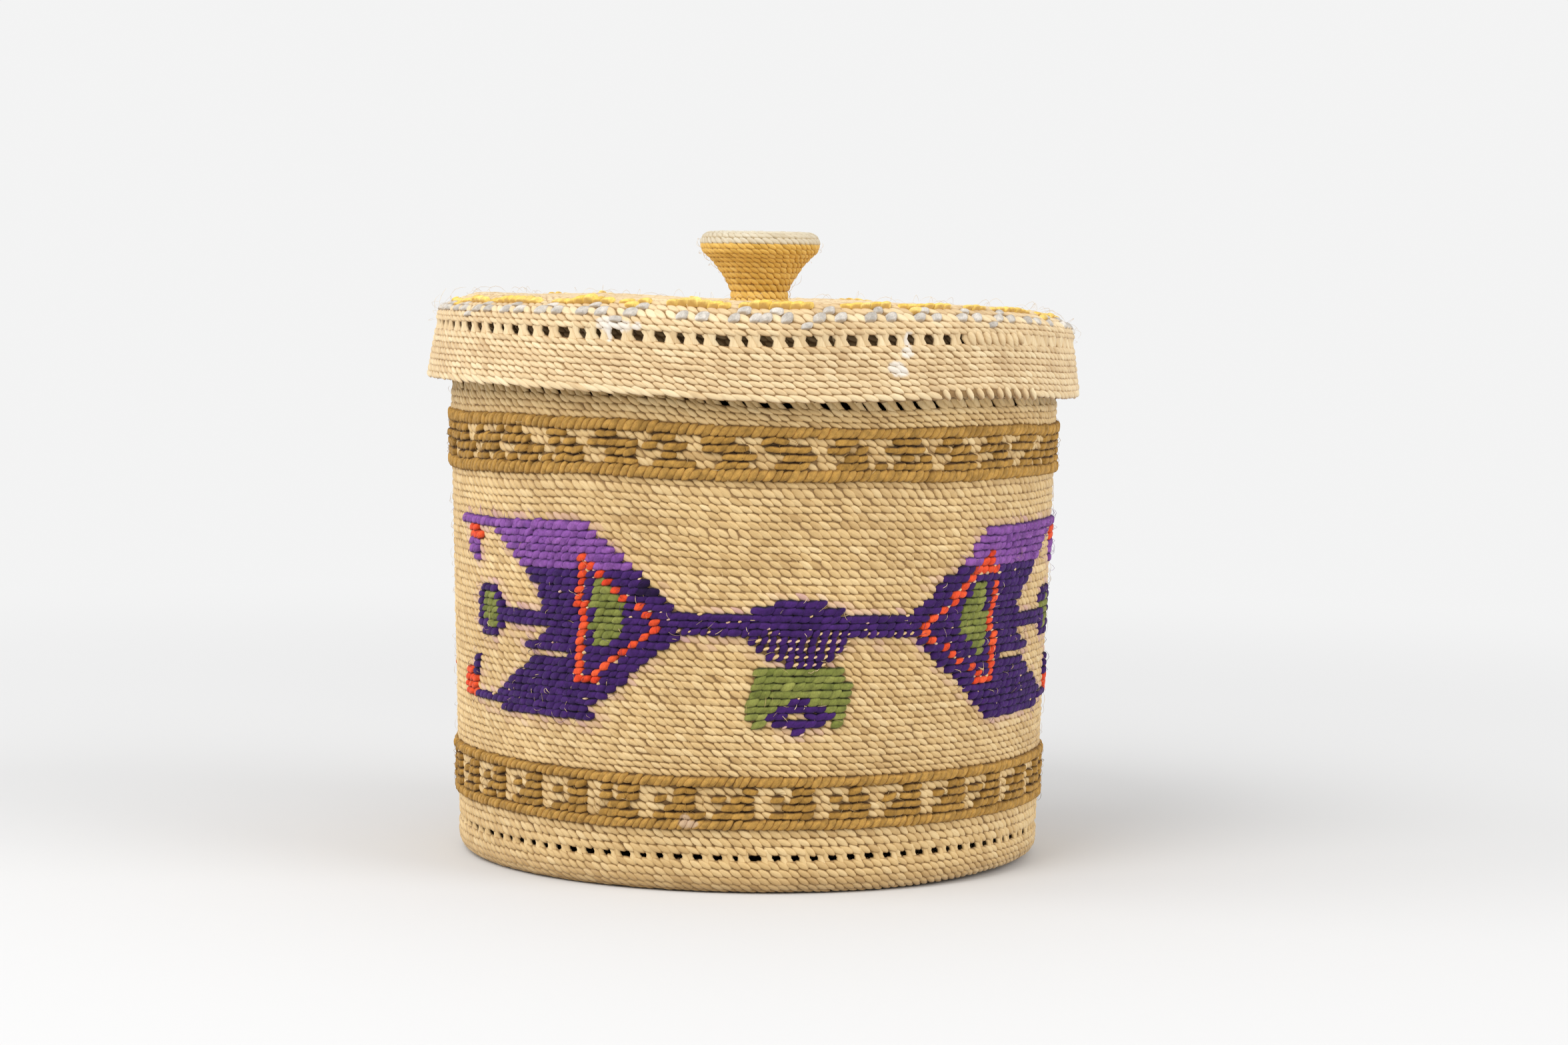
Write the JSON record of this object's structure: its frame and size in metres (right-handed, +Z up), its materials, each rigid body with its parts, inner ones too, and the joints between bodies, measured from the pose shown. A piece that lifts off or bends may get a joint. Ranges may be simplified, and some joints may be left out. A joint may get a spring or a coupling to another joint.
{
  "type": "lidded basket",
  "caption": "Round twined grass basket with a lift-off lid, a flared woven knob, rows of openwork, and bands and figures of coloured yarn.",
  "frame": {"origin": "middle of the flat underside of the base", "axes": "+Z up through the knob, the pictured front towards -Y, +X to its right"},
  "size_m": [0.1304, 0.1306, 0.1252],
  "materials": {
    "straw": "dry cream to tan grass, plump split weft",
    "lid_straw": "the lid's paler grass with a pinkish cast",
    "ochre_straw": "ochre fibre of the knob, fuzzy",
    "brown_yarn": "golden brown yarn laid over the weft",
    "purple_yarn": "dark purple yarn, fibrous",
    "violet_yarn": "lighter violet yarn, fibrous",
    "orange_yarn": "orange red yarn",
    "green_yarn": "moss green yarn",
    "yellow_yarn": "yellow yarn, in short loops",
    "grey_yarn": "pale blue grey yarn, in single dots"
  },
  "bodies": {
    "basket": {"base_start": "straw", "base_courses": "straw", "heel_courses": "straw", "lower_openwork": "straw", "wall_courses": "straw", "upper_openwork": "straw", "rim_courses": "straw", "rim_braid": "straw", "lower_brown_band": "brown_yarn", "upper_brown_band": "brown_yarn", "front_left_purple_arrow": "purple_yarn", "front_left_violet_wing": "violet_yarn", "front_left_orange_triangle": "orange_yarn", "front_left_green_triangle": "green_yarn", "front_left_green_oval": "green_yarn", "front_left_upper_tip": "orange_yarn", "front_left_lower_tip": "orange_yarn", "front_right_purple_arrow": "purple_yarn", "front_right_violet_wing": "violet_yarn", "front_right_orange_triangle": "orange_yarn", "front_right_green_triangle": "green_yarn", "front_right_green_oval": "green_yarn", "front_right_upper_tip": "orange_yarn", "front_right_lower_tip": "orange_yarn", "front_purple_medallion": "purple_yarn", "front_green_panel": "green_yarn", "front_purple_diamond": "purple_yarn", "back_left_purple_arrow": "purple_yarn", "back_left_violet_wing": "violet_yarn", "back_left_orange_triangle": "orange_yarn", "back_left_green_triangle": "green_yarn", "back_left_green_oval": "green_yarn", "back_left_upper_tip": "orange_yarn", "back_left_lower_tip": "orange_yarn", "back_right_purple_arrow": "purple_yarn", "back_right_violet_wing": "violet_yarn", "back_right_orange_triangle": "orange_yarn", "back_right_green_triangle": "green_yarn", "back_right_green_oval": "green_yarn", "back_right_upper_tip": "orange_yarn", "back_right_lower_tip": "orange_yarn", "back_purple_medallion": "purple_yarn", "back_green_panel": "green_yarn", "back_purple_diamond": "purple_yarn"},
    "lid": {"lid_start": "lid_straw", "lid_top_courses": "lid_straw", "lid_shoulder_courses": "lid_straw", "lid_openwork": "lid_straw", "lid_skirt_courses": "lid_straw", "lid_edge_braid": "lid_straw", "lid_grey_course": "grey_yarn", "lid_yellow_course": "yellow_yarn", "knob_stem": "ochre_straw", "knob_cap": "ochre_straw"}
  },
  "joints": [
    {"name": "lid_lift", "type": "slide", "parent": "basket", "child": "lid", "axis": [0, 0, 1], "range_m": [0, 0.06]}
  ]
}
